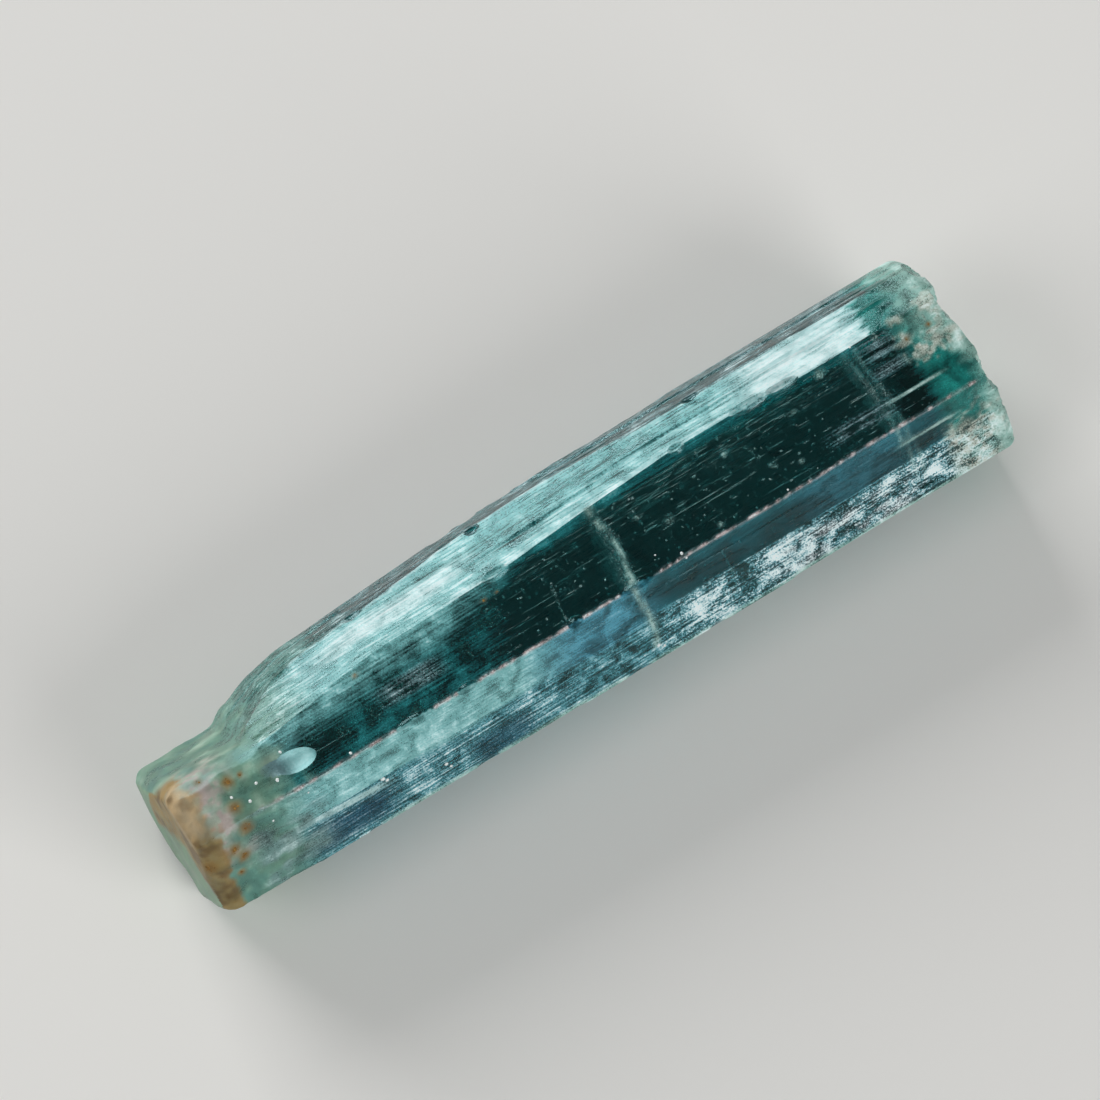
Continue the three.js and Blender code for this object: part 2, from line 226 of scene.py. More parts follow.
def places_across(half_width, spacing):
    """Rows of the relief across a face, with one far out on each side to complete the block."""
    inner = np.linspace(-half_width, half_width, round(2 * half_width / spacing) + 1)
    return np.concatenate([[-BLOCK_REACH], inner, [BLOCK_REACH]])


def mesh_from(bm, name):
    """A new mesh with a bmesh's shape, which is then freed."""
    mesh = bpy.data.meshes.new(name)
    bm.to_mesh(mesh)
    bm.free()
    return mesh


def placed(name, data):
    """A new object in the scene that holds a mesh, a light or a camera."""
    piece = bpy.data.objects.new(name, data)
    bpy.context.scene.collection.objects.link(piece)
    return piece


def read(items, name, kind=float, width=1):
    """One property of every item of a mesh, each as many numbers as its width."""
    values = np.empty(len(items) * width, dtype=kind)
    items.foreach_get(name, values)
    return values


def relief_block(columns, rows, outer, inner_side, to_crystal, surface):
    """A closed block over a grid of columns and rows. outer gives its outer side's height."""
    bm = bmesh.new()
    bmesh.ops.create_grid(bm, x_segments=len(columns) - 1, y_segments=len(rows) - 1, size=0.5)
    raised = bmesh.ops.extrude_face_region(bm, geom=bm.faces[:])["geom"]
    raised = [part for part in raised if isinstance(part, bmesh.types.BMVert)]
    bmesh.ops.translate(bm, verts=raised, vec=(0, 0, 1))
    bmesh.ops.recalc_face_normals(bm, faces=bm.faces[:])
    mesh = mesh_from(bm, surface)
    corners = read(mesh.vertices, "co", width=3).reshape(-1, 3)
    column = columns[np.rint((corners[:, 0] + 0.5) * (len(columns) - 1)).astype(int)]
    row = rows[np.rint((corners[:, 1] + 0.5) * (len(rows) - 1)).astype(int)]
    height = np.where(corners[:, 2] > 0.5, outer(column, row), inner_side)
    mesh.vertices.foreach_set("co", np.stack([column, row, height], axis=1).ravel())
    mesh.transform(to_crystal)
    mesh.update()
    return placed(surface, mesh)


def face_block(surface, face, relief, spacing):
    def outer(x, row):
        # The block's rows run the other way round from the face's own places.
        return face["distance"] - relief(x, -row)

    # The block looks up, +Z, with its columns along X, until it turns to look the face's way.
    turned = Matrix.Rotation(math.radians(face["turn"] - 90), 4, "X")
    rows = places_across(FACE_HALF, spacing)
    return relief_block(places_along(), rows, outer, -BLOCK_REACH, turned, surface)


def end_block(depth, towards, surface):
    def outer(column, row):
        return HALF_LENGTH - depth(row, -towards * column)

    rows = places_across(END_HALF, END_CELL)
    turned = Matrix.Rotation(towards * math.pi / 2, 4, "Y")
    return relief_block(rows, rows, outer, -HALF_LENGTH - BLOCK_REACH, turned, surface)


def radial(turn):
    """The way that a turn about the c-axis points, in degrees from +Y towards +Z."""
    return Vector((0, math.cos(math.radians(turn)), math.sin(math.radians(turn))))


def edge_point(a, b, x):
    """Where the planes of two faces meet, at a place along the crystal."""
    ua, ub = radial(a["turn"]), radial(b["turn"])
    da, db = (face["distance"] - along(face["taper"], x) for face in (a, b))
    area = ua.y * ub.z - ua.z * ub.y
    return Vector((x, (da * ub.z - db * ua.z) / area, (ua.y * db - ub.y * da) / area))


def scoop(bm, at, out, lengthwise, length, width, depth):
    """A shell-shaped scar: an egg that dips into the surface at a point, by its depth."""
    radius = (width**2 / 4 + depth**2) / (2 * depth)
    outward = out.normalized()
    across = lengthwise.cross(outward).normalized()
    tangent = outward.cross(across)
    egg = Matrix((tangent * radius * length / width, outward * radius, across * radius))
    egg = egg.transposed().to_4x4()
    egg.translation = at + outward * (radius - depth)
    bmesh.ops.create_icosphere(bm, subdivisions=4, radius=1, matrix=egg)


RIM_CHIPS, RIM_SEED = 11, 131
EDGE_NICKS, NICK_SEED = 4, 173
END_BITES, BITE_SEED = 12, 211
NICKED_EDGES = [
    ("far_upper", "bevel"), ("bevel", "top"), ("top", "near_upper"), ("near_upper", "near_lower"),
    ("near_lower", None), (None, "far_lower"),
]


def scars():
    """The oval chip, the broken far rim, nicks on the edges and bites out of the broken end."""
    made = []

    def scar(at, out, lengthwise, length, width, depth):
        made.append((at, out, Vector(lengthwise), length, width, depth))

    chip_height, chip_lengthwise = TOP_DISTANCE - 0.05, (1, -0.13, 0)
    scar(Vector((-9.35, -0.97, chip_height)), radial(90), chip_lengthwise, 1.25, 0.66, 0.17)
    scar(Vector((-9.95, -0.86, chip_height)), radial(90), chip_lengthwise, 1.05, 0.5, 0.07)
    between = numbers(RIM_SEED)
    for i in range(RIM_CHIPS):
        x = -2.1 + 6.9 * i / 10 + between(-0.15, 0.15)
        length = between(0.9, 1.8)
        lengthwise = (1, 0, between(-0.1, 0.1))
        at = edge_point(PRISM_FACES["far_lower"], PRISM_FACES["far_upper"], x)
        out = radial(between(6, 28))
        scar(at, out, lengthwise, length, 0.75, between(0.14, 0.24))
    between = numbers(NICK_SEED)
    for first, second in NICKED_EDGES:
        a, b = PRISM_FACES.get(first, RESTING), PRISM_FACES.get(second, RESTING)
        for _ in range(EDGE_NICKS):
            x = between(-8.5, 11.5)
            out = (radial(a["turn"]) + radial(b["turn"])).normalized()
            length, depth = between(0.35, 1.05), between(0.05, 0.12)
            scar(edge_point(a, b, x) - out * 0.1, out, (1, 0, 0), length, 0.4, depth)
    between = numbers(BITE_SEED)
    for i in range(END_BITES):
        turn = 30 * (i + between(0, 0.5))
        out = radial(turn) + Vector((0.9, 0, 0))
        at = radial(turn) * between(2.6, 2.85) + Vector((HALF_LENGTH - 0.2, 0, 0))
        length, depth = between(0.6, 1.3), between(0.07, 0.16)
        scar(at, out, radial(turn + 90), length, 0.5, depth)
    return made


def combine(body, other, operation):
    """Cuts or joins two solids for good, keeping which surface each face came from."""
    cut = body.modifiers.new(operation, "BOOLEAN")
    cut.operation, cut.solver, cut.material_mode, cut.object = operation, "MANIFOLD", "TRANSFER", other
    seen = body.evaluated_get(bpy.context.evaluated_depsgraph_get())
    solid = bpy.data.meshes.new_from_object(seen)
    body.modifiers.clear()
    body.data = solid
    bpy.data.objects.remove(other)


def crystal_solid():
    """The blocks' common part, less the scars. For now each surface has its own material slot."""
    body, *others = [
        face_block(name, face, prism_relief(name, face), ROW) for name, face in PRISM_FACES.items()]
    others.append(face_block("resting", RESTING, lambda x, place: end_rounding(x), RESTING_ROW))
    others.append(end_block(broken_depth, 1, "broken_end"))
    others.append(end_block(worn_depth, -1, "stained_end"))
    marks = [bpy.data.materials.new(surface) for surface in SURFACES]
    for block, mark in zip([body, *others], marks):
        block.data.materials.append(mark)
    for block in others:
        combine(body, block, "INTERSECT")
    eggs = []
    for scar in scars():
        bm = bmesh.new()
        scoop(bm, *scar)
        egg = placed("scar", mesh_from(bm, "scar"))
        egg.data.materials.append(marks[-1])
        eggs.append(egg)
    for egg in eggs[1:]:
        combine(eggs[0], egg, "UNION")
    combine(body, eggs[0], "DIFFERENCE")
    return body


crystal = crystal_solid()

# The etched knob has dissolved most, so its edges are rounded.
bm = bmesh.new()
bm.from_mesh(crystal.data)
knob = [vertex for vertex in bm.verts if vertex.co.x < KNOB_END + 0.2]
for _ in range(KNOB_SMOOTHING):
    bmesh.ops.smooth_vert(bm, verts=knob, factor=0.5, use_axis_x=True, use_axis_y=True, use_axis_z=True)
bm.to_mesh(crystal.data)
bm.free()

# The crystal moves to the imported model's place, and from millimetres to metres.
cad_low, cad_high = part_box("beryl_crystal")
corners = np.array(crystal.bound_box)
middle = (corners.min(axis=0) + corners.max(axis=0)) / 2
crystal_move = (np.array(cad_low) + np.array(cad_high)) / 2 / MM - middle
crystal_move[2] = cad_low[2] / MM - corners[:, 2].min()
crystal.data.transform(Matrix.Scale(MM, 4) @ Matrix.Translation(Vector(crystal_move)))


def linear(hex_colour):
    """Turns an sRGB hex colour into the linear colour that the shaders work in."""
    parts = [int(hex_colour[i:i + 2], 16) / 255 for i in (1, 3, 5)]
    return [c / 12.92 if c <= 0.04045 else ((c + 0.055) / 1.055) ** 2.4 for c in parts]


MID_TEAL = linear("#32989c")
AQUA = linear("#98e2e2")
# A pale frost colour that paints highlights where the skin looks brightest.
HIGHLIGHT_AQUA = linear("#c4f2f2")
SILVER = linear("#86abb0")
BLUE_TEAL = linear("#187a88")
DEEP_BLUE = linear("#1b5f7c")
TRACE_GREEN = linear("#b2d4ca")
SKY_TEAL = linear("#5fb6d0")
GREY_TEAL = linear("#5f9c92")
SEA_GREEN = linear("#84b39a")
PALE_GREEN = linear("#b9d3bd")
LOWER_TEAL = linear("#5cb0be")
RUST = linear("#a67a2c")
YELLOW_GREEN = linear("#a4bf92")
OCHRE = linear("#b28e4c")
TAN = linear("#d9ba8c")
OLIVE = linear("#9a8450")
DARK_BROWN = linear("#6f4a1a")
PINKISH = linear("#d8bcb9")
TEAL_GREEN = linear("#2aaaa0")
SILVER_GREEN = linear("#acdacc")
CREAM = linear("#dcdccb")


def under_plane(face, x, y, z):
    """How far a place lies under a face's plane."""
    turn = math.radians(face["turn"])
    return face["distance"] - along(face["taper"], x) - y * math.cos(turn) - z * math.sin(turn)


skin = crystal.data
corners = [vertex.co / MM - Vector(crystal_move) for vertex in skin.vertices]
outer_skin = bvhtree.BVHTree.FromPolygons(corners, [face.vertices for face in skin.polygons])


def on_skin(name, x, place):
    """Where a line straight into a prism face meets the skin, at a place across it, and its normal."""
    face = PRISM_FACES[name]
    outward, across = radial(face["turn"]), radial(face["turn"] + 90)
    distance = face["distance"] - along(face["taper"], x)
    at = Vector((x, 0, 0)) + outward * distance + across * place
    hit, normal, _, _ = outer_skin.ray_cast(at + outward, -outward)
    return hit, normal


# face, x, place across the face, radius of the spot
RUST_SPOTS = [
    ("top", -11.17, 0.49, 0.13), ("top", -11.85, 0.05, 0.09), ("top", -11.4, 1.2, 0.14),
    ("top", -10.8, 0.5, 0.06), ("near_upper", -11.4, -0.95, 0.15), ("near_upper", -11.97, -0.48, 0.15),
    ("near_upper", -11.75, -0.12, 0.14), ("near_upper", -12.0, 0.4, 0.08),
    ("near_upper", -12.75, -0.2, 0.16), ("top", -6.66, -0.21, 0.06), ("top", -2.57, -0.15, 0.06),
    ("top", -2.1, -0.17, 0.035), ("top", 11.35, -0.35, 0.05), ("top", 12.1, -0.4, 0.05),
]
# Each healed crack stands across the c-axis. x, slope: where it is, and how it leans along y.
# The first three reach the skin.
CRACK_COLUMNS = ("x", "slope", "wave", "y", "z", "plates", "thick")
HEALED_CRACKS = [
    (1.3, 0.05, 0.09, (-2.9, 0.95), (-1.2, 2.36), 16000, 0.095),
    (9.7, -0.04, 0.05, (-2.8, 0.95), (0.3, 2.36), 7500, 0.055),
    (9.98, -0.03, 0.05, (-2.8, 0.9), (0.5, 2.35), 4200, 0.045),
    (-0.7, 0.12, 0.03, (-1.5, -0.35), (1.6, 2.35), 220, 0.012),
    (4.3, 0.2, 0.1, (-2.8, -1.7), (0.2, 1.6), 500, 0.02),
]
HEALED_CRACKS = [dict(zip(CRACK_COLUMNS, row)) for row in HEALED_CRACKS]


def crack_place(crack, y, z):
    """Where along the crystal a healed crack stands, at a place across it."""
    return crack["x"] + crack["slope"] * y + crack["wave"] * np.sin(2.3 * y + 1.1 * z)


MARKED_EDGES = [
    ("top", "near_upper"), ("near_upper", "near_lower"), ("bevel", "far_upper"), ("top", "bevel"),
]
NEAR_UPPER_FROM, NEAR_UPPER_ACROSS = -1.26, 2.86
END_SCARS_FROM = 12.4


def distance_to(chosen):
    """How far each point of the skin is from the nearest of the chosen ones."""
    tree = kdtree.KDTree(int(chosen.sum()))
    for i, point in enumerate(points[chosen]):
        tree.insert(point, i)
    tree.balance()
    return np.array([tree.find(point)[2] for point in points])


# The points of the skin, and how mottled it is there, finely and in drifts along the crystal.
points = read(skin.vertices, "co", width=3).reshape(-1, 3) / MM - crystal_move
x, y, z = points.T
mottle = layer(x, y, 0.6, 0.7, 0.5, z=z / 0.5) + layer(x, y, 0.4, 0.25, 0.2, z=z / 0.2)
crumbs = 0.5 * mottle + layer(x, y, 0.5, 0.13, 0.11, z=z / 0.11)
drift = layer(x, y, 1, 2.6, 0.3, 5, z=z / 0.3)

# From here on, values are for the corners of the skin's faces. A scar is part of the face it is in.
vertex = read(skin.loops, "vertex_index", int)
surface = np.repeat(read(skin.polygons, "material_index", int), read(skin.polygons, "loop_total", int))
touching = np.zeros((len(points), len(SURFACES)), dtype=bool)
touching[vertex, surface] = True
from_edge = {}
for edge in MARKED_EDGES:
    first, second = (touching[:, SURFACES.index(name)] for name in edge)
    from_edge[edge] = distance_to(first & second)[vertex]
corner = points[vertex]
x, y, z = corner.T
mottle, crumbs, drift = mottle[vertex], crumbs[vertex], drift[vertex]
across = (-0.5 * y - math.sqrt(0.75) * z - NEAR_UPPER_FROM) / NEAR_UPPER_ACROSS
depths = [under_plane(face, x, y, z) for face in PRISM_FACES.values()]
scar = surface == SURFACES.index("scar")
surface = np.where(scar & (x < END_SCARS_FROM), np.argmin(depths, axis=0), surface)
on = {name: surface == i for i, name in enumerate(SURFACES)}

# The finish, laid on in layers. The texture says how much grain, lengthwise streak and cloud vary
# the frost, and how far the painted highlight can whiten the frost.
widths = {"frost": 1, "colour": 3, "texture": 4}
finish = {name: np.zeros((len(corner), width)) for name, width in widths.items()}


def lay(share, frost=None, colour=None, texture=None):
    """Lays a finish on where the share is 1, and blends it in where the share is less."""
    share = np.clip(np.asarray(share, dtype=float), 0, 1)[:, None]
    for name, value in (("frost", frost), ("colour", colour), ("texture", texture)):
        if value is not None:
            value = np.reshape(value, (-1, widths[name]))
            finish[name] += (value - finish[name]) * share


def bump_at(x, middle, reach):
    """1 in the middle of a stretch and 0 from its ends on."""
    return ramp(reach - np.abs(x - middle), 0, reach * 0.6)


def patches(x, y, spots):
    """1 in the middle of each patch and 0 from its border on. A spot: x, reach, y, reach."""
    marks = [bump_at(x, at_x, long) * bump_at(y, at_y, wide) for at_x, long, at_y, wide in spots]
    return np.max(marks, axis=0)


TOP_TO_BEVEL, BEVEL_SLOPE, BEVEL_END = 1.06, 0.5, 10.7
DARK_WINDOW = [(-8.5, 1.3, -0.75, 0.8)]
SILKY_STREAKS = [
    (9.0, 1.5, -1.05, 0.35), (10.6, 0.9, -0.1, 0.25), (10.9, 1.2, 0.6, 0.5), (-5.5, 1.3, -0.75, 0.4),
]
BLUE_POOLS = [(-8.7, 2.0, 0.76, 0.24), (-3.8, 1.3, 0.84, 0.2)]
PALE_STEP = [(-8.7, 1.9, 0.51, 0.05)]
# x, y, radius of the pale smudges on the clear window; the last three are also painted glints
SMUDGES_AND_GLINTS = [
    (5.28, 0.21, 0.13), (6.24, -0.8, 0.14), (6.96, -1.1, 0.11), (2.96, -0.62, 0.2), (2.26, -0.05, 0.17),
    (4.1, -1.47, 0.12), (7.54, 0.22, 0.13), (8.76, 0.77, 0.2), (10.65, 0.86, 0.16),
]
# x, y, half length and half width of the cream crumbs on the broken end
CREAM_PATCHES = [
    (12.2, 0, 0.6, 0.4), (11.5, -0.2, 0.4, 0.3), (12.35, 1.05, 0.4, 0.4), (11.3, 0.3, 0.35, 0.25),
    (11.4, 1.0, 0.25, 0.2), (11.8, -2.4, 0.9, 0.3),
]
MATT = (0.06, 0.02, 0.12, 0)

# The clear window of the core, milky towards the knob, with silky streaks near its borders.
top = on["top"]
past_edge = TOP_TO_BEVEL - along(BEVEL_TAPER, x) / BEVEL_SLOPE - y
left = ramp(-x, 0.5, 4.5)
by_bevel = top * (1 - ramp(past_edge, 0, 0.4 + 0.9 * left))
scratched = 1 - ramp(past_edge, 0.3, 1.3)
milky = ramp(-x, 1.6, 4.4) * (1 - 0.7 * patches(x, y, DARK_WINDOW))
veins = 0.55 * mottle + layer(x, y, 0.45, 0.45, 0.16)
lay(top, 0.0, MID_TEAL, (0.06, 0.2, 0.06, 1))
lay(top * scratched, texture=(0.1, 0.38, 0.1, 1))
lay(top * milky, 0.52 * veins, MID_TEAL, (0.25, 0.35, 0.4, 0.7))
lay(by_bevel, 0.45 + 0.13 * left, MID_TEAL, (0.3, 0.4, 0.4, 1))
lay(by_bevel * left, colour=AQUA)
lay(top * patches(x, y, SILKY_STREAKS), 0.3, SILVER, (0.6, 0.8, 0.5, 1))
# Pale smudges. The last three sit where glints of light show, so they are partly painted glints.
for at_x, at_y, radius in SMUDGES_AND_GLINTS:
    away = np.hypot(x - at_x, y - at_y) / radius
    smudge_and_glint = ramp(1.3 - away + 1.6 * (crumbs - 0.5), 0, 1)
    lay(top * smudge_and_glint * 0.8, 0.5, TRACE_GREEN, (0.8, 0.2, 0.5, 1))

# Rubbed matt and pale, painted reflections at two places, a painted highlight line, a ragged end before
# the broken end.
in_bevel, bevel = from_edge["top", "bevel"], on["bevel"]
reflection_streak = patches(x, in_bevel + 0.2 * (mottle - 0.5), [(-4.9, 3.4, 1.0, 0.5)])
painted_reflection = np.maximum(bump_at(x, 8.6, 2.7), reflection_streak)
ragged = 0.7 * (unevenness(x / 0.5, y / 0.08, z / 0.1) - 0.5)
past_end = 1 - ramp(BEVEL_END - x + ragged, -0.05, 0.1)
upper = ramp(in_bevel, 0.15, 0.8)
# A painted highlight line along the edge with the top face.
line = (1 - ramp(in_bevel, 0.06, 0.2)) * ramp(x, -4.2, -2.4)
lay(bevel, 0.74 - 0.18 * upper * ramp(x, -4, -1), AQUA, (0.35, 0.6, 0.4, 1))
lay(bevel * painted_reflection, 0.95, HIGHLIGHT_AQUA)
lay(bevel * line * (0.4 + 0.8 * drift), 0.95, HIGHLIGHT_AQUA)
lay(bevel * past_end, 0.42, TEAL_GREEN, (0.2, 0.1, 0.4, 0.4))

# Lightly frosted and streaked, greyer and duller towards the knob, with a painted highlight on its upper
# rim's crumbs.
far = on["far_upper"] | on["far_lower"]
lay(far, 0.3, SILVER, (0.5, 1.2, 0.6, 1))
lay(far * ramp(-x, 5, 8), 0.6, GREY_TEAL, (0.4, 0.6, 0.4, 0.6))
# The upper rim: rubbed crumbs whitened by a painted highlight.
rim = 1 - ramp(from_edge["bevel", "far_upper"], 0.02, 0.12)
lay(rim * crumbs * 1.2, 0.8, HIGHLIGHT_AQUA)

# A blue-teal veil under the top edge, then a step with a painted highlight, then rubbed crumbs with
# painted glitter down to a pale rim.
upper, under = on["near_upper"], on["near_lower"]
lower = upper * ramp(across + 0.12 * (drift - 0.5), 0.42, 0.54)
left = ramp(-x, 0.6, 3.4)
right = ramp(x, 0.4, 3.4)
lay(upper, 0.22 + 0.26 * ramp(0.26 - across, 0, 0.26), BLUE_TEAL, (0.12, 0.2, 0.14, 0.5))
lay(upper * bump_at(x, -0.6, 2.8), 0.45, SKY_TEAL, (0.2, 0.3, 0.4, 0.8))
lay(upper * bump_at(x, 8, 2.4) * 0.5, 0.35, SKY_TEAL)
lay(upper * left, 0.72, AQUA, (0.25, 0.25, 0.4, 0.9))
lay(lower, 0.45, LOWER_TEAL, (0.5, 0.7, 0.8, 1))
lay(lower * left, 0.64, LOWER_TEAL, (0.6, 0.9, 0.5, 1))
pools = patches(x, across, BLUE_POOLS) * (0.6 + 0.5 * drift)
lay(lower * pools, 0.48, DEEP_BLUE, (0.35, 0.5, 0.15, 1))
lay(lower * right, 0.64, LOWER_TEAL, (1.3, 1.0, 1.4, 1))
warm = lower * bump_at(x, 7.6, 3.2) * ramp(across, 0.5, 0.7) * ramp(crumbs, 0.4, 0.62)
lay(warm * 0.55, colour=PINKISH)
# A painted highlight along the step.
step = upper * patches(x, across - 0.03 * (x + 8.9), PALE_STEP)
lay(step * (0.6 + crumbs), 0.88, HIGHLIGHT_AQUA, (0.4, 0.4, 0.3, 1))
lay(under, 0.4, LOWER_TEAL, (0.5, 0.8, 0.6, 1))
lay(under * right, 0.5, SILVER)
lay(on["resting"], 0.05, MID_TEAL, (0.1, 0.2, 0.1, 1))
rim = 1 - ramp(from_edge["near_upper", "near_lower"], 0, 0.2)
lay(rim * ramp(x, -9, -7) * (0.5 + crumbs), 0.78, SILVER_GREEN, (0.4, 0.6, 0.4, 1))

# The pale traces of the healed cracks where they reach the skin.
for crack in HEALED_CRACKS[:3]:
    away = np.abs(x - crack_place(crack, y, z))
    trace = 1 - ramp(away + 0.1 * (mottle - 0.4), 0.4 * crack["thick"], 2 * crack["thick"])
    reached = (y > crack["y"][0]) & (y < crack["y"][1]) & (z > crack["z"][0])
    strength = 9.5 * crack["thick"] * ramp(crumbs, 0.2, 0.5)
    lay(trace * reached * strength, 0.72, TRACE_GREEN, (0.5, 0.1, 0.5, 1))

# The etched, greenish knob and the silvery broken end with its teal-green glow and cream crumbs.
upper, shifted = on["near_upper"], x + 0.8 * (mottle - 0.5)
lay(0.8 * ramp(-x, 7.5, 9.5) * (y > 0) * on["bevel"], colour=SEA_GREEN)
knob = np.maximum(ramp(-10 - x + 1.4 * (mottle - 0.5), -0.9, 0.7), on["stained_end"])
lay(knob, 0.56 + 0.16 * mottle, SEA_GREEN, (0.06, 0.06, 0.22, 0.2))
lay(knob * 0.6 * ramp(mottle, 0.5, 0.25), colour=GREY_TEAL)
lay(knob * 0.7 * ramp(mottle, 0.45, 0.85), 0.75, PALE_GREEN)
veil = upper * bump_at(x, -10.4, 1.7) * ramp(mottle + 0.3 * drift, 0.5, 0.85)
lay(veil * 0.65, 0.62, SILVER, (0.35, 0.35, 0.4, 0.9))
glow = ramp(x + 0.5 * (mottle - 0.5), 10.7, 11.5)
low = upper * ramp(across, 0.42, 0.56)
lay(glow * (1 - low), 0.22 + 0.4 * mottle, TEAL_GREEN, (0.15, 0.08, 0.3, 0.4))
lay(glow * low * 0.8, 0.72, SILVER_GREEN, (0.8, 0.5, 0.8, 1))
lay(glow * low * ramp(crumbs, 0.42, 0.6) * 0.8, colour=CREAM)
silvery = ramp(shifted, 11.2, 12.0) * ramp(y + 0.6 * (crumbs - 0.5), -0.45, 0.1)
lay(silvery * 0.75, 0.62, SILVER_GREEN, (0.3, 0.1, 0.5, 0.8))
rim = np.maximum(ramp(shifted, 12.1, 12.7), on["broken_end"])
lay(rim, 0.68 + 0.25 * mottle, SILVER_GREEN, (0.3, 0.05, 0.5, 0.8))
lay(rim * ramp(mottle, 0.4, 0.25), 0.4, TEAL_GREEN)
lay(scar * (x > END_SCARS_FROM), 0.55, SILVER_GREEN, (0.4, 0.1, 0.4, 0.6))
for at_x, at_y, half_length, half_width in CREAM_PATCHES:
    away = np.hypot((x - at_x) / half_length, (y - at_y) / half_width)
    patch = ramp(1.2 - away + 2.8 * (crumbs - 0.5), 0, 1.1) * ramp(z + mottle, 0.4, 1.6)
    lay(patch * 0.75, 0.72, CREAM, (0.5, 0.2, 0.6, 1))
# The oval chip's facet, painted paler and brighter towards its right end: a painted highlight.
chip = scar * bump_at(x, -9.4, 1.1) * (z > 1.8)
lay(chip, 0.72 + 0.2 * ramp(x, -9.9, -9.1), SILVER, (0.15, 0.05, 0.2, 0.6))
lay(chip * ramp(x, -9.9, -9.2), colour=AQUA)

# The pale chipped line of the near top edge, and two growth lines that run into the broken end.
edge = 1 - ramp(from_edge["top", "near_upper"], 0.02, 0.1)
reach = ramp(x, -11.6, -9) * ramp(12.5 - x, 0, 0.3)
beads = 0.3 + 0.8 * ramp(unevenness(x / 0.12, y / 0.1), 0.35, 0.65)
lay(edge * reach * beads, 0.78, PINKISH, (0.7, 0.1, 0.4, 1))
on_top = on["top"] * patches(x, y, [(10.8, 1.2, -0.97, 0.06)])
on_near = on["near_upper"] * patches(x, across, [(10.5, 1.3, 0.215, 0.025)])
lay((on_top + on_near) * (0.5 + crumbs), 0.75, TRACE_GREEN, (0.4, 0.3, 0.2, 1))

# Iron stain: tan and ochre on the outer end of the knob, and a halo round each rusty spot.
end = on["stained_end"]
wander = 0.5 * (mottle - 0.5) + 0.25 * (crumbs - 0.5)
lowest = np.interp(y, [-2.4, -1, 0, 0.5, 0.9, 1.2], [0.4, 0.5, -0.4, -1.4, -0.5, 2.6])
on_side = ramp(-12.3 + wander - x, -0.2, 0.15) * ramp(z, -0.9, 0.4) * ramp(0.9 - y, 0, 0.4)
stain = np.where(end, ramp(z + wander - lowest, -0.1, 0.5), on_side)
wash = ramp(-11.4 + 1.6 * (mottle - 0.5) - x, -0.3, 0.8) * ramp(z, 0.8, 2.2) * (y < 0.9)
lay(wash * 0.6, 0.7, CREAM, MATT)
lay(wash * ramp(crumbs, 0.48, 0.6) * 0.7, 0.8, PINKISH, MATT)
lay(end * (0.4 + 0.4 * ramp(z, -1, 2)), 0.8, YELLOW_GREEN, MATT)
lay(stain * (0.75 + 0.25 * ramp(crumbs, 0.3, 0.6)), 0.8, OCHRE, MATT)
lay(stain * ramp(z, 1.6, 2.3) * ramp(y, -1.7, -1.1), colour=TAN)
lay(stain * ramp(-y, 1.3, 1.9) * 0.8, colour=OLIVE)
border = stain * (1 - stain) * 4 * ramp(-y, 1.2, 2)
lay(border * 0.6, colour=RUST)
thick = layer(y, z, 0.6, 0.5, 0.4, 3, z=x / 0.5) + layer(y, z, 0.4, 0.16, 0.14, z=x / 0.15)
lay(stain * ramp(thick + 0.06 * (1 - y), 0.6, 0.85) * 0.7, colour=DARK_BROWN)
for name, spot_x, spot_place, radius in RUST_SPOTS:
    away = np.linalg.norm(corner - np.array(on_skin(name, spot_x, spot_place)[0]), axis=1)
    halo = 1 - ramp(away + 1.6 * radius * (crumbs - 0.5), 0, 2.5 * radius)
    lay(halo * 0.95, 0.8, RUST, MATT)
    lay(halo**3 * 0.5, colour=DARK_BROWN)

# The mesh gets the finish as attributes, which its material reads.
colour = np.hstack([finish["colour"], np.ones((len(corner), 1))])
skin.attributes.new("frost", "FLOAT", "CORNER").data.foreach_set("value", finish["frost"].ravel())
for name, values in (("skin_colour", colour), ("texture", finish["texture"])):
    skin.attributes.new(name, "FLOAT_COLOR", "CORNER").data.foreach_set("color", values.ravel())


def add(tree, kind, inputs=None, output=0, **settings):
    """Adds a shader node with its settings and inputs, values or sockets. Returns its output."""
    node = tree.nodes.new("ShaderNode" + kind)
    for name, value in settings.items():
        setattr(node, name, value)
    for name, value in (inputs or {}).items():
        if isinstance(value, bpy.types.NodeSocket):
            tree.links.new(value, node.inputs[name])
        else:
            node.inputs[name].default_value = value
    return node.outputs[output] if node.outputs else node


def empty_material(name):
    material = bpy.data.materials.new(name)
    material.use_nodes = True
    material.node_tree.nodes.clear()
    return material, material.node_tree


# Beryl: a clear glassy mineral, IOR 1.577, coloured blue-green by vanadium. Its absorption gives the
# deep teal of the core. Where the skin is etched or rubbed it is frosted, matt and paler.
BERYL_IOR = 1.577
BERYL_TEAL = linear("#50d8d8")
BERYL_DENSITY = 760.0
# The white of the painted highlight on the most frosted skin.
HIGHLIGHT_WHITE = linear("#eaf8f8")
GLOSS_TINT = linear("#a6d6da")
CLEAR_ROUGHNESS, FROST_ROUGHNESS = 0.03, 0.45
CLEAREST, MOST_FROSTED = 1.0, 0.15
GRAIN, STRIA_LENGTH, STRIA_WIDTH, CLOUD = 0.05, 1.6, 0.06, 0.6
TEXTURE_SWING = 3.0
SKIN_BUMP, STRIA_SHARE, BUMP_HEIGHT = 0.45, 0.6, 0.02

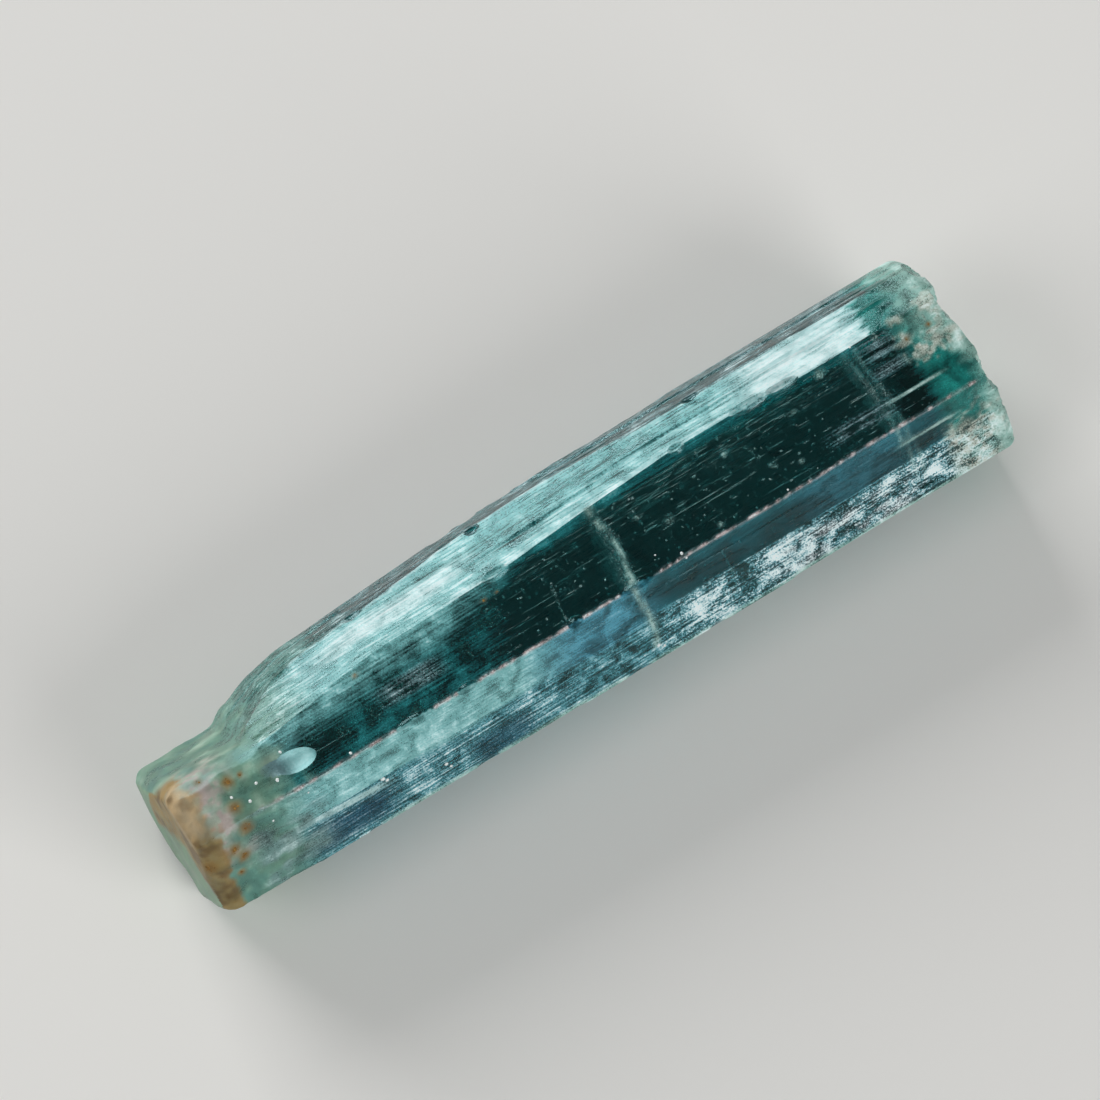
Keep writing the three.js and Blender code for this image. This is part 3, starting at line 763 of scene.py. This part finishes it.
beryl, tree = empty_material("vanadium_beryl")
place = add(tree, "TexCoord", output=3)
in_mm = add(tree, "Mapping", {
    "Vector": place, "Scale": (1 / MM, 1 / MM, 1 / MM), "Location": tuple(-crystal_move)})
lengthwise = add(tree, "Mapping", {
    "Vector": in_mm, "Scale": (1 / STRIA_LENGTH, 1 / STRIA_WIDTH, 1 / STRIA_WIDTH)})
grain = add(tree, "TexNoise", {"Vector": in_mm, "Scale": 1 / GRAIN, "Detail": 3.0})
stria = add(tree, "TexNoise", {"Vector": lengthwise, "Scale": 1.0, "Detail": 4.0})
cloud = add(tree, "TexNoise", {
    "Vector": in_mm, "Scale": 1 / CLOUD, "Detail": 5.0, "Distortion": 0.6})
frost = add(tree, "Attribute", output=2, attribute_name="frost")
tint = add(tree, "Attribute", attribute_name="skin_colour")
texture = add(tree, "Attribute", output=1, attribute_name="texture")
highlight_limit = texture.node.outputs["Alpha"]

# The frost, swung up and down by the noises, each as much as the texture says.
noises = add(tree, "CombineXYZ", {"X": grain, "Y": stria, "Z": cloud})
swing = add(tree, "VectorMath", {0: noises, 1: (0.5, 0.5, 0.5)}, operation="SUBTRACT")
swing = add(tree, "VectorMath", {0: swing, 1: texture}, output=1, operation="DOT_PRODUCT")
level = add(tree, "Math", {0: swing, 1: TEXTURE_SWING, 2: frost}, operation="MULTIPLY_ADD")
frosted = add(tree, "MapRange", {0: level, 1: 0.1, 2: 1.0})

# Frosted skin has its own colour, whiter where it is frosted most, partly as a painted highlight. Clear
# skin has none.
painted_highlight = add(tree, "MapRange", {0: level, 1: 0.7, 2: 1.3})
painted_highlight = add(tree, "Math", {0: painted_highlight, 1: highlight_limit}, operation="MULTIPLY")
pale = add(tree, "Mix", {0: painted_highlight, 6: tint, 7: (*HIGHLIGHT_WHITE, 1)}, output=2, data_type="RGBA")
tone = add(tree, "MapRange", {0: cloud, 1: 0.3, 2: 0.7, 3: 0.82, 4: 1.15})
pale = add(tree, "VectorMath", {0: pale, "Scale": tone}, operation="SCALE")
thin = add(tree, "MapRange", {0: frosted, 1: 0.0, 2: 0.04})
colour = add(tree, "Mix", {0: thin, 6: (1, 1, 1, 1), 7: pale}, output=2, data_type="RGBA")

transmission = add(tree, "MapRange", {0: frosted, 3: CLEAREST, 4: MOST_FROSTED})
roughness = add(tree, "MapRange", {
    0: frosted, 1: 0.05, 2: 0.85, 3: CLEAR_ROUGHNESS, 4: FROST_ROUGHNESS},
    interpolation_type="SMOOTHSTEP")
height = add(tree, "Math", {0: grain, 1: frosted}, operation="MULTIPLY")
height = add(tree, "Math", {0: stria, 1: STRIA_SHARE, 2: height}, operation="MULTIPLY_ADD")
bump = add(tree, "Bump", {"Height": height, "Strength": SKIN_BUMP, "Distance": BUMP_HEIGHT * MM})
surface = add(tree, "BsdfPrincipled", {
    "Base Color": colour, "Roughness": roughness, "IOR": BERYL_IOR,
    "Specular Tint": (*GLOSS_TINT, 1), "Transmission Weight": transmission, "Normal": bump})
volume = add(tree, "VolumeAbsorption", {"Color": (*BERYL_TEAL, 1), "Density": BERYL_DENSITY})
add(tree, "OutputMaterial", {"Surface": surface, "Volume": volume})

SHARP_ANGLE = 28

crystal.name = skin.name = "crystal_skin"
skin.materials.clear()
skin.materials.append(beryl)
skin.polygons.foreach_set("material_index", np.zeros(len(skin.polygons), dtype=int))
skin.shade_smooth()
skin.set_sharp_from_angle(angle=math.radians(SHARP_ANGLE))
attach(crystal, "root")
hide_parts("beryl_crystal")


# ---- What grew and healed inside the crystal -------------------------
# Healed cracks, hollow growth tubes along the c-axis, milky clouds and single specks. Each is many
# tiny plates, needles or grains, far smaller than the crystal, joined in one mesh for each kind.

END_CLEARANCE, FACE_CLEARANCE = 0.52, 0.22

random = np.random.default_rng(29)
grain_shape = bmesh.new()
bmesh.ops.create_icosphere(grain_shape, subdivisions=1, radius=1)
grain_shape.verts.ensure_lookup_table()


def scatter(name, shape, frames, places, material):
    """A piece that holds a small shape many times, for each 3x3 frame and place."""
    corners = np.array([vertex.co for vertex in shape.verts])
    faces = np.array([[vertex.index for vertex in face.verts] for face in shape.faces])
    points = np.einsum("nij,vj->nvi", frames, corners) + places[:, None]
    points = (points.reshape(-1, 3) + crystal_move) * MM
    copies = np.arange(len(places))[:, None, None] * len(corners)
    mesh = bpy.data.meshes.new(name)
    mesh.from_pydata(points, [], (faces[None] + copies).reshape(-1, faces.shape[1]))
    mesh.materials.append(material)
    mesh.shade_smooth()
    piece = placed(name, mesh)
    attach(piece, "root")


def turned_frames(normals, sizes):
    """3x3 frames whose last axis is a normal, turned about it at random, and stretched by sizes."""
    spins = random.uniform(0, math.tau, len(normals))
    normals = normals / np.linalg.norm(normals, axis=1, keepdims=True)
    helper = np.where(np.abs(normals[:, :1]) < 0.9, [[1.0, 0, 0]], [[0, 1.0, 0]])
    first = np.cross(normals, helper)
    first /= np.linalg.norm(first, axis=1, keepdims=True)
    second = np.cross(normals, first)
    turned = first * np.cos(spins)[:, None] + second * np.sin(spins)[:, None]
    other = np.cross(normals, turned)
    return np.stack([turned * sizes[:, :1], other * sizes[:, 1:2], normals * sizes[:, 2:]], axis=2)


def scatter_drops(name, places, size, longest, flatness, material):
    """Drops turned any way, each up to so many times longer than wide, and flattened."""
    sizes = np.stack([size * random.uniform(1, longest, len(size)), size, size * flatness], axis=1)
    frames = turned_frames(random.normal(0, 1, (len(size), 3)), sizes)
    scatter(name, grain_shape, frames, places, material)


def inside_prism(places):
    """Which places lie inside the crystal, clear of the relief of its faces and ends."""
    kept = np.abs(places[:, 0]) < HALF_LENGTH - END_CLEARANCE
    for face in [*PRISM_FACES.values(), RESTING]:
        kept &= under_plane(face, *places.T) > FACE_CLEARANCE
    return kept


# Films of fluid left in healed cracks and tubes: they throw light back like ground glass.
FILM_TEAL = linear("#5d9a98")
HEALED_WHITE = linear("#eefaf7")
CLOUD_TEAL = linear("#a9d2cc")
FILM_IOR = 1.33
PATCHES_PER_MM = 4


def film_material(name, colour, roughness):
    material, tree = empty_material(name)
    place = add(tree, "TexCoord", output=3)
    patch = add(tree, "TexNoise", {"Vector": place, "Scale": PATCHES_PER_MM / MM, "Detail": 2.0})
    share = add(tree, "MapRange", {0: patch, 1: 0.35, 2: 0.65, 3: 0.55, 4: 1.0})
    tone = add(tree, "Mix", {0: share, 6: (*FILM_TEAL, 1), 7: (*colour, 1)}, output=2, data_type="RGBA")
    film = add(tree, "BsdfPrincipled", {"Base Color": tone, "Roughness": roughness, "IOR": FILM_IOR})
    add(tree, "OutputMaterial", {"Surface": film})
    return material


film = film_material("healed_fluid_film", HEALED_WHITE, 0.3)

crack_places, crack_frames = [], []
for crack in HEALED_CRACKS:
    count = crack["plates"]
    y = random.uniform(*crack["y"], count)
    z = crack["z"][1] - (crack["z"][1] - crack["z"][0]) * random.uniform(0, 1, count) ** 1.7
    patchy = layer(y, z, 0.6, 0.35, 0.3, crack["x"]) + layer(y, z, 0.4, 0.12, 0.12)
    x = crack_place(crack, y, z) + random.normal(0, crack["thick"], count)
    places = np.stack([x, y, z], axis=1)
    places = places[(patchy > 0.4) & inside_prism(places)]
    normals = np.array((1.0, 0, 0)) + random.normal(0, 0.35, (len(places), 3))
    size = random.uniform(0.012, 0.04, len(places))
    sizes = np.stack([size, size * random.uniform(0.4, 1, len(size)), size * 0.15], axis=1)
    crack_frames.append(turned_frames(normals, sizes))
    crack_places.append(places)
scatter("main_healed_crack", grain_shape, crack_frames[0], crack_places[0], film)
frames, places = np.concatenate(crack_frames[1:]), np.concatenate(crack_places[1:])
scatter("smaller_healed_cracks", grain_shape, frames, places, film)

# Growth tubes: hair-fine hollow lines along the c-axis, often broken into dashes.
TUBE_LINES, NEAR_BEVEL = 420, 0.6
line_x = random.uniform(-7, 10.3, TUBE_LINES)
line_y = np.where(random.uniform(0, 1, TUBE_LINES) < NEAR_BEVEL, random.uniform(0.2, 1.0, TUBE_LINES),
                  random.uniform(-1.7, 0.6, TUBE_LINES))
line_z = 2.35 - random.uniform(0, 1, TUBE_LINES) ** 2.5 * 2.2
line_length = random.uniform(0.5, 4.5, TUBE_LINES)
dashes = random.integers(1, 9, TUBE_LINES)
owner = np.repeat(np.arange(TUBE_LINES), dashes)
x = line_x[owner] + line_length[owner] * random.uniform(-0.5, 0.5, len(owner))
half = line_length[owner] / dashes[owner] * random.uniform(0.1, 0.5, len(owner))
places = np.stack([x, line_y[owner] + random.normal(0, 0.006, len(owner)), line_z[owner]], axis=1)
kept = inside_prism(places)
places, half = places[kept], half[kept]
thin = random.uniform(0.004, 0.01, len(half))
normals = np.array((1.0, 0, 0)) + random.normal(0, 0.004, (len(half), 3))
frames = turned_frames(normals, np.stack([thin, thin, half], axis=1))
scatter("growth_tubes", grain_shape, frames, places, film)

# Milky clouds of minute fluid drops, thickest between the knob and the clear core.
CLOUD_TRIES, CLOUD_DROPS = 30000, 9500
cloud_film = film_material("milky_fluid_drops", CLOUD_TEAL, 0.5)
places = np.stack([
    -2.2 - 8.0 * random.uniform(0, 1, CLOUD_TRIES) ** 0.8, random.uniform(-2.4, 1.5, CLOUD_TRIES),
    2.35 - 2.2 * random.uniform(0, 1, CLOUD_TRIES) ** 1.3], axis=1)
x, y, z = places.T
puffs = 0.55 * unevenness(x / 0.8 + y / 2, y / 0.5 + z / 0.7) + 0.45 * unevenness(x / 0.3, y / 0.22 + z)
thicker = ramp(-x, 2.5, 6) * 0.12
places = places[(puffs + thicker > 0.6) & inside_prism(places)][:CLOUD_DROPS]
scatter_drops("milky_clouds", places, random.uniform(0.008, 0.026, len(places)), 2.2, 0.7, cloud_film)

# Wisps: curved trails of drops in the clear core. Each has a start, a bend and an end.
WISPS = [
    ((3.6, 0.2, 2.2), (4.2, -0.5, 2.0), (4.4, -1.3, 1.9)),
    ((4.4, 0.35, 2.3), (5.2, 0.0, 2.2), (5.9, -0.6, 2.1)),
    ((2.9, -0.7, 2.2), (2.8, -1.3, 1.9), (2.6, -2.0, 1.2)),
    ((4.9, -1.9, 1.5), (4.4, -2.2, 0.9), (4.5, -2.5, 0.4)),
    ((5.3, -1.8, 1.6), (5.6, -2.1, 1.0), (5.9, -2.4, 0.5)),
    ((-3.2, 0.6, 2.2), (-3.6, 0.0, 2.1), (-3.5, -0.8, 2.0)),
    ((7.6, 0.5, 2.3), (8.0, 0.3, 2.2), (8.6, 0.35, 2.25)),
    ((-0.4, 0.3, 2.3), (-0.1, -0.3, 2.1), (-0.3, -1.0, 2.0)),
    ((5.8, 0.2, 2.3), (6.1, -0.1, 2.2), (6.0, -0.5, 2.1)),
    ((1.9, 0.7, 2.3), (2.2, 0.3, 2.2), (2.3, -0.2, 2.0)),
]
WISP_DROPS = 55
start, bend, end = np.repeat(np.array(WISPS), WISP_DROPS, axis=0).transpose(1, 0, 2)
share = np.tile(np.linspace(0, 1, WISP_DROPS), len(WISPS))[:, None]
places = start * (1 - share) ** 2 + bend * 2 * share * (1 - share) + end * share**2
places += random.normal(0, 0.03, places.shape)
headings = 2 * (1 - share) * (bend - start) + 2 * share * (end - bend)
kept = inside_prism(places)
places, headings = places[kept], headings[kept]
thin = random.uniform(0.004, 0.008, len(places))
sizes = np.stack([thin, thin, random.uniform(0.008, 0.03, len(places))], axis=1)
scatter("wisps", grain_shape, turned_frames(headings, sizes), places, cloud_film)

# Single specks and drops, scattered all through the clear core.
SPECKS = 2600
places = np.stack([random.uniform(-8, 11.5, SPECKS), random.uniform(-2.4, 1.3, SPECKS),
                   2.38 - 2.4 * random.uniform(0, 1, SPECKS) ** 2.5], axis=1)
places = places[inside_prism(places)]
size = 0.009 + 0.035 * random.uniform(0, 1, len(places)) ** 4
scatter_drops("single_specks", places, size, 1.8, 0.6, film)


# ---- Iron oxide crust and painted glint grains on the skin -----------
# Rusty spots fill small pits near the stained end, and a few white grains are painted glints, set
# where light glints off the skin. Each is a small lump set into the skin, the rust where it grew.

SPOT_LUMPS = 5
LUMP_HEIGHT, LUMP_SUNK = 0.022, 0.01

lump_shape = bmesh.new()
bmesh.ops.create_icosphere(lump_shape, subdivisions=3, radius=1)
for vertex in lump_shape.verts:
    vertex.co *= 1 + 0.12 * math.sin(5 * vertex.co.x + 3 * vertex.co.y) * math.cos(4 * vertex.co.z)
lump_shape.verts.ensure_lookup_table()


def seated(spots):
    """Where lumps sit on the skin, each given as face, x and place, and how the skin faces there."""
    met = [on_skin(*spot) for spot in spots]
    places = [hit - normal * LUMP_SUNK for hit, normal in met]
    return np.array(places), np.array([normal for _, normal in met])


# Limonite: a crumbly hydrated iron oxide, ochre where thin and dark brown where thick.
THICK_BROWN, THIN_OCHRE = linear("#74551f"), linear("#a27a35")
CRUMBS_PER_MM = 9

limonite, tree = empty_material("limonite_crust")
place = add(tree, "TexCoord", output=3)
crumb = add(tree, "TexNoise", {"Vector": place, "Scale": CRUMBS_PER_MM / MM, "Detail": 4.0})
thick = add(tree, "MapRange", {0: crumb, 1: 0.38, 2: 0.62})
tone = add(tree, "Mix", {0: thick, 6: (*THICK_BROWN, 1), 7: (*THIN_OCHRE, 1)}, output=2, data_type="RGBA")
bump = add(tree, "Bump", {"Height": crumb, "Strength": 0.6, "Distance": BUMP_HEIGHT * MM})
crust = add(tree, "BsdfPrincipled", {"Base Color": tone, "Roughness": 0.8, "Normal": bump})
add(tree, "OutputMaterial", {"Surface": crust})

spots, sizes = [], []
for name, x, place, radius in RUST_SPOTS:
    for _ in range(SPOT_LUMPS):
        reach, heading = radius * random.uniform(0, 1.0), random.uniform(0, math.tau)
        size = radius * random.uniform(0.15, 0.5) * (1.2 - reach / radius)
        spots.append((name, x + reach * math.cos(heading), place + reach * math.sin(heading)))
        sizes.append((size, size * random.uniform(0.6, 1), LUMP_HEIGHT))
places, normals = seated(spots)
scatter("rust_spots", lump_shape, turned_frames(normals, np.array(sizes)), places, limonite)

# White grains that are painted glints, set on the skin where glints of light show. face, x, place, radius
GLINT_GRAINS = [
    ("top", -9.54, 0.55, 0.05), ("top", -10.02, 1.18, 0.06), ("top", -10.55, 0.94, 0.05),
    ("top", -10.95, 1.28, 0.055), ("top", -11.32, 0.91, 0.05), ("top", -7.94, 1.6, 0.05),
    ("near_upper", -9.46, -0.96, 0.035), ("near_upper", -10.64, -0.63, 0.04), ("top", 2.74, 1.6, 0.05),
    ("near_upper", 2.8, -1.2, 0.045), ("top", 2.1, 1.25, 0.03), ("top", 6.2, 1.6, 0.035),
    ("top", 9.9, -1.0, 0.045), ("near_upper", -5.6, 0.9, 0.06), ("near_upper", -5.5, 1.05, 0.05),
    ("near_upper", 1.2, 1.2, 0.06), ("near_upper", 1.35, 1.32, 0.05), ("near_upper", -7.4, 0.12, 0.075),
    ("near_upper", -7.3, 0.24, 0.06),
]
GLINT_WHITE, GLINT_GRAIN_IOR = linear("#e6ecea"), 1.54

glint_material, tree = empty_material("painted_glint_white")
glint_surface = add(tree, "BsdfPrincipled", {"Base Color": (*GLINT_WHITE, 1), "Roughness": 0.25, "IOR": GLINT_GRAIN_IOR})
add(tree, "OutputMaterial", {"Surface": glint_surface})

places, normals = seated([grain[:3] for grain in GLINT_GRAINS])
radii = np.array([grain[3] for grain in GLINT_GRAINS])
sizes = np.stack([radii, radii * 0.85, radii * 0.6], axis=1)
scatter("painted_glint_grains", lump_shape, turned_frames(normals, sizes), places, glint_material)


# ---- The floor, the light and the camera -----------------------------
# A plain pale floor just under the crystal, large soft panels beside and behind it, and a camera
# that looks down on the crystal through a long lens.

FLOOR_HALF, FLOOR_DROP = 1.5, 0.02
PAPER_WHITE, WORLD_GREY, WORLD_STRENGTH = linear("#e9e7e3"), linear("#e6ebee"), 0.24

bm = bmesh.new()
bmesh.ops.create_grid(bm, x_segments=4, y_segments=4, size=FLOOR_HALF)
bmesh.ops.translate(bm, verts=bm.verts[:], vec=(0, 0, -FLOOR_DROP * MM))
floor = placed("floor", mesh_from(bm, "floor"))
floor_material, tree = empty_material("matt_pale_paper")
paper = add(tree, "BsdfPrincipled", {"Base Color": (*PAPER_WHITE, 1), "Roughness": 0.9, "IOR": 1.45})
add(tree, "OutputMaterial", {"Surface": paper})
floor.data.materials.append(floor_material)

world = bpy.data.worlds.new("studio")
world.use_nodes = True
background = world.node_tree.nodes["Background"].inputs
background["Color"].default_value = (*WORLD_GREY, 1)
background["Strength"].default_value = WORLD_STRENGTH
bpy.context.scene.world = world


def direction(azimuth, elevation):
    """The way from the crystal to a light or the camera, in degrees from the front and upwards."""
    turn, rise = math.radians(azimuth), math.radians(elevation)
    return Vector((math.sin(turn) * math.cos(rise), -math.cos(turn) * math.cos(rise), math.sin(rise)))


def soft_panel(name, azimuth, elevation, away, size, watts):
    """A square light panel that looks at the crystal from a direction, in degrees and metres."""
    light = bpy.data.lights.new(name, "AREA")
    light.shape, light.size, light.energy = "SQUARE", size, watts
    panel = placed(name, light)
    towards = direction(azimuth, elevation)
    panel.location = towards * away
    panel.rotation_euler = towards.to_track_quat("Z", "Y").to_euler()


soft_panel("panel_behind", 186, 24, 0.55, 0.34, 2.4)
soft_panel("panel_left", -95, 40, 0.6, 0.35, 0.9)
soft_panel("panel_near", 20, 24, 0.6, 0.36, 2.0)

AZIMUTH, ELEVATION = -32.4, 71
LENS, SENSOR = 300, 36
FRAME_WIDTH = 30.36
AIM_LEFT, AIM_UP = 0.43, 0.97
NEAREST_SEEN = 0.01

camera = placed("camera", bpy.data.cameras.new("camera"))
away = direction(AZIMUTH, ELEVATION)
right = Vector((math.cos(math.radians(AZIMUTH)), math.sin(math.radians(AZIMUTH)), 0))
upwards = away.cross(right)
middle = (Vector(cad_low) + Vector(cad_high)) / 2
aim = middle - right * AIM_LEFT * MM + upwards * AIM_UP * MM
camera.location = aim + away * FRAME_WIDTH * MM * LENS / SENSOR
camera.rotation_euler = away.to_track_quat("Z", "Y").to_euler()
camera.data.lens, camera.data.sensor_width = LENS, SENSOR
camera.data.clip_start = NEAREST_SEEN
bpy.context.scene.camera = camera
bpy.context.scene.view_settings.view_transform = "Standard"
